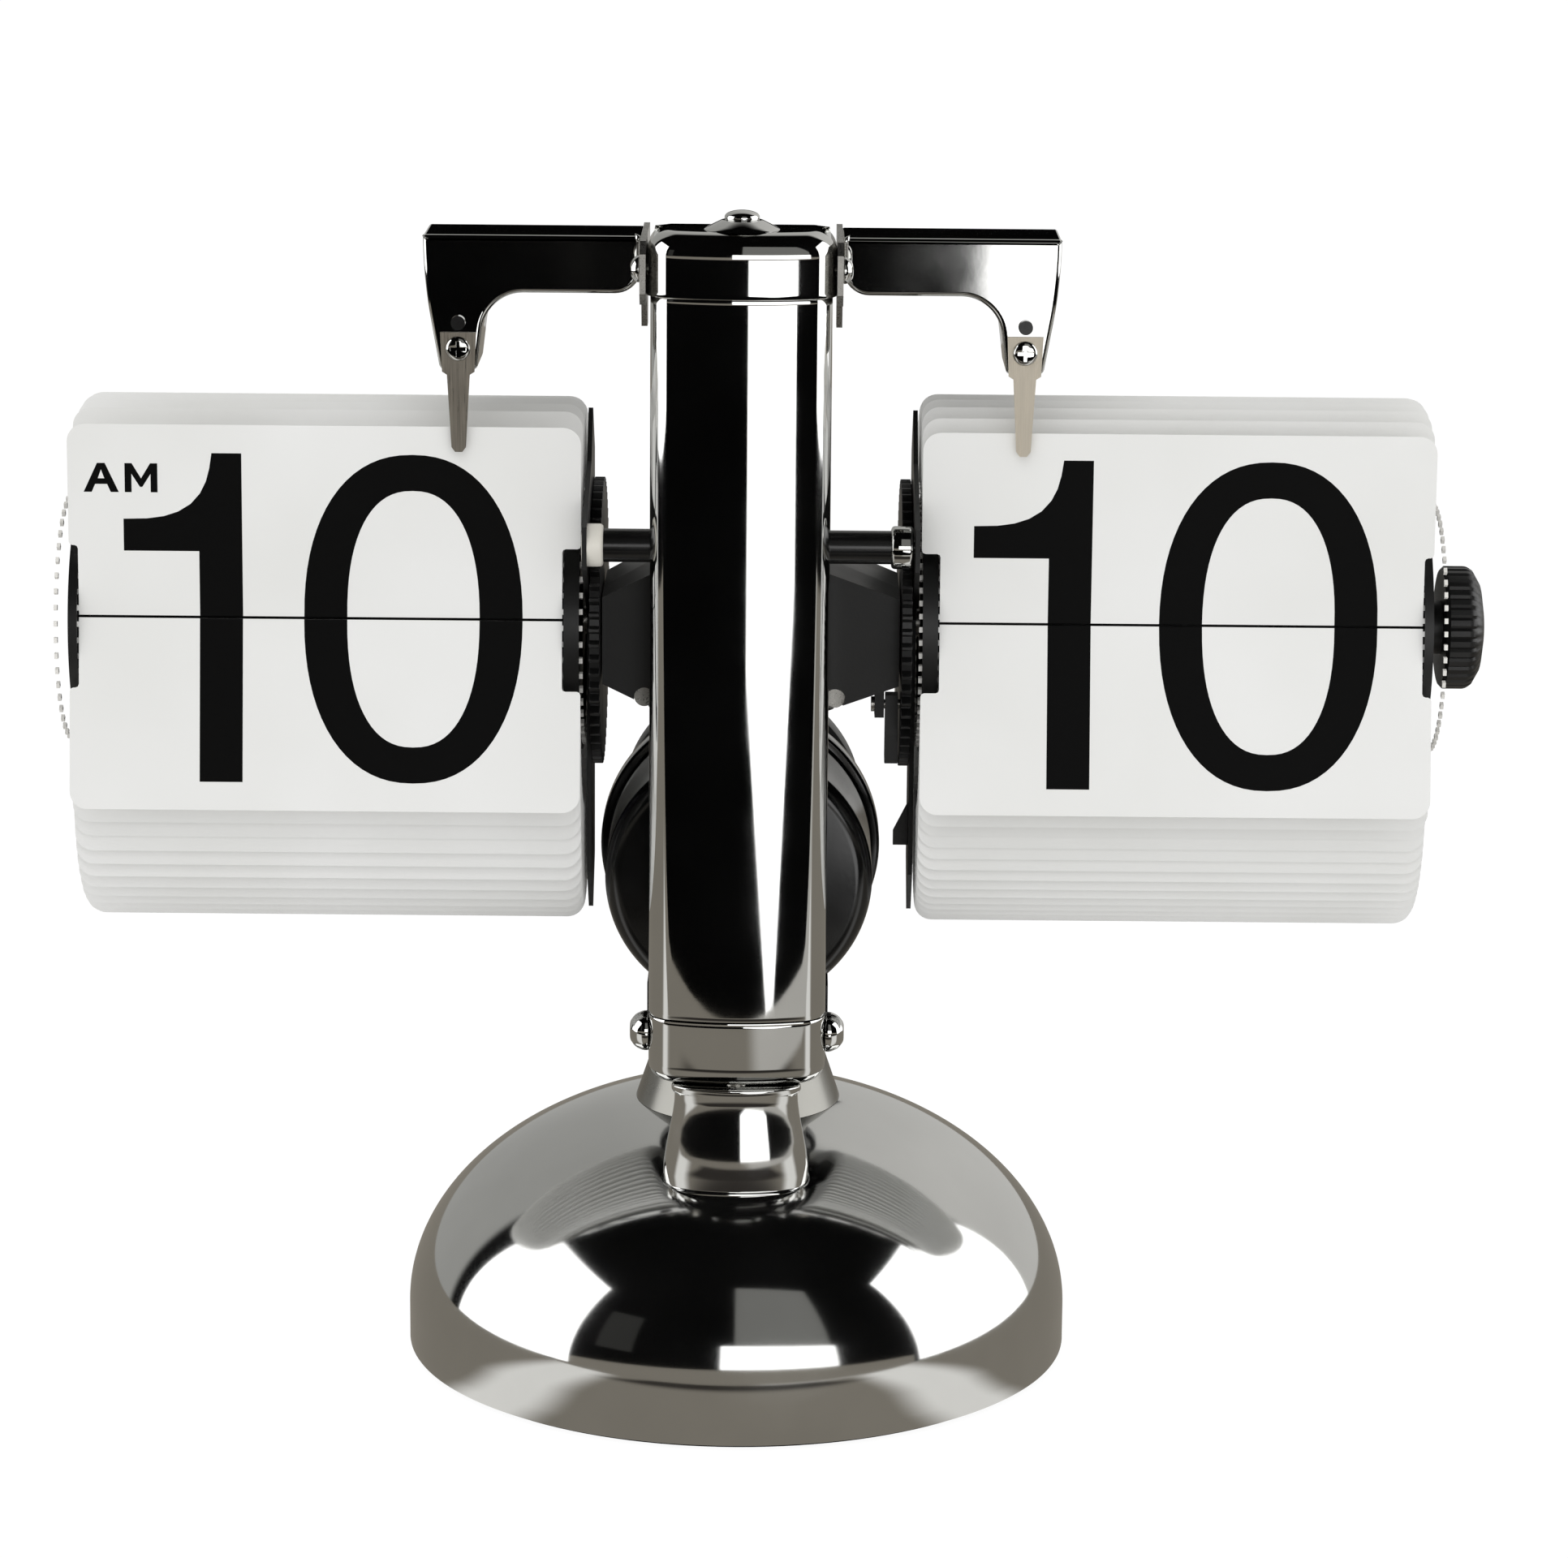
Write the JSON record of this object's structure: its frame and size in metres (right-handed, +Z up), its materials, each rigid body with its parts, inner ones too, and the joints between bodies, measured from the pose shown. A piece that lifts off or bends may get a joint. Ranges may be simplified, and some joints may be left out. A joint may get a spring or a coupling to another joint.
{
  "type": "flip clock",
  "caption": "Chrome desk flip clock: a domed base and pillar carry two horizontal reels of white leaves that fall to show hours and minutes.",
  "frame": {"origin": "middle of the underside of the base pad, where the clock stands on the desk", "axes": "+X to the right seen from the front and along both reels, -Y towards the viewer of the dial, +Z up"},
  "size_m": [0.2434, 0.116, 0.2042],
  "materials": {
    "chrome": "mirror-polished chrome plate",
    "steel": "plain satin steel",
    "black_steel": "black painted steel",
    "cast_iron": "as cast",
    "black_plastic": "black moulded plastic, low sheen",
    "black_gloss": "black moulded plastic, polished",
    "leaf_white": "white printed plastic card, matt",
    "ear_white": "white plastic",
    "acetal": "natural acetal",
    "pad_foam": "black foam rubber",
    "brass": "turned brass",
    "cell_jacket": "plain printed jacket",
    "finger_left_steel": "spring steel strip"
  },
  "bodies": {
    "stand": {"base_pad": "pad_foam", "base_bottom_plate": "black_steel", "base_weight": "cast_iron", "base_screws": "steel", "base_dome": "chrome", "crown_post": "chrome", "crown_bolt": "steel", "neck_post": "chrome", "neck_bolt": "steel", "pillar_shell": "chrome", "pillar_cup": "chrome", "pillar_cap": "chrome", "finial_washer": "chrome", "finial_screw": "chrome", "cup_side_nuts": "chrome", "cap_side_screws": "chrome", "left_arm": "chrome", "right_arm": "chrome", "arm_brackets": "steel", "left_finger": "finger_left_steel", "right_finger": "finger_left_steel", "finger_screws": "steel", "finger_pins": "steel", "gearbox_front_shell": "black_plastic", "gearbox_rear_shell": "black_plastic", "gearbox_screws": "steel", "axle_bushes": "acetal", "drive_motor": "steel", "battery_drum": "black_plastic", "battery_cell": "cell_jacket", "battery_contacts": "brass", "chassis_foot": "black_plastic", "pillar_spine": "black_steel", "tie_rod": "black_steel", "tie_rod_nuts": "chrome", "lever_pin": "steel", "hour_side_plate": "black_plastic", "hour_lower_leaf": "leaf_white", "hour_waiting_leaves": "leaf_white", "hour_fallen_leaves": "leaf_white", "minute_side_plate": "black_plastic", "minute_lower_leaf": "leaf_white", "minute_waiting_leaves": "leaf_white", "minute_fallen_leaves": "leaf_white"},
    "hour_reel": {"hour_axle": "steel", "hour_spool": "black_plastic", "hour_gear": "black_plastic", "hour_discs": "black_plastic", "hour_ear_tips": "ear_white"},
    "hour_flip_leaf_body": {"hour_flip_leaf": "leaf_white"},
    "minute_reel": {"minute_axle": "steel", "minute_spool": "black_plastic", "minute_gear": "black_plastic", "minute_discs": "black_plastic", "minute_ear_tips": "ear_white", "setting_knob": "black_gloss"},
    "minute_flip_leaf_body": {"minute_flip_leaf": "leaf_white"},
    "pinion_body": {"drive_pinion": "acetal"},
    "battery_cover_body": {"battery_cover": "black_plastic"},
    "trip_lever_body": {"trip_lever": "black_plastic"}
  },
  "joints": [
    {"name": "minute_reel_turn", "type": "hinge", "parent": "stand", "child": "minute_reel", "pos_m": [0.07, 0, 0.13], "axis": [1, 0, 0], "continuous": true},
    {"name": "hour_reel_turn", "type": "hinge", "parent": "stand", "child": "hour_reel", "pos_m": [-0.07, 0, 0.13], "axis": [1, 0, 0], "continuous": true},
    {"name": "drive_pinion_turn", "type": "hinge", "parent": "stand", "child": "pinion_body", "pos_m": [0.028, 0.02543, 0.11648], "axis": [1, 0, 0], "continuous": true},
    {"name": "minute_leaf_fall", "type": "hinge", "parent": "stand", "child": "minute_flip_leaf_body", "pos_m": [0.0735, -0.02038, 0.13507], "axis": [1, 0, 0], "range_deg": [0, 158], "deforming": ["right_finger"]},
    {"name": "hour_leaf_fall", "type": "hinge", "parent": "stand", "child": "hour_flip_leaf_body", "pos_m": [-0.0698, -0.02031, 0.13534], "axis": [1, 0, 0], "range_deg": [0, 158], "deforming": ["left_finger"]},
    {"name": "battery_cover_pull", "type": "slide", "parent": "stand", "child": "battery_cover_body", "axis": [0, 1, 0], "range_m": [0, 0.012]},
    {"name": "trip_lever_swing", "type": "hinge", "parent": "stand", "child": "trip_lever_body", "pos_m": [0.026, -0.012, 0.1182], "axis": [1, 0, 0], "range_deg": [-8, 8]}
  ],
  "couplings": [
    {"joint": "hour_reel_turn", "follows": "minute_reel_turn", "ratio": 0.041667},
    {"joint": "drive_pinion_turn", "follows": "minute_reel_turn", "ratio": -5}
  ]
}
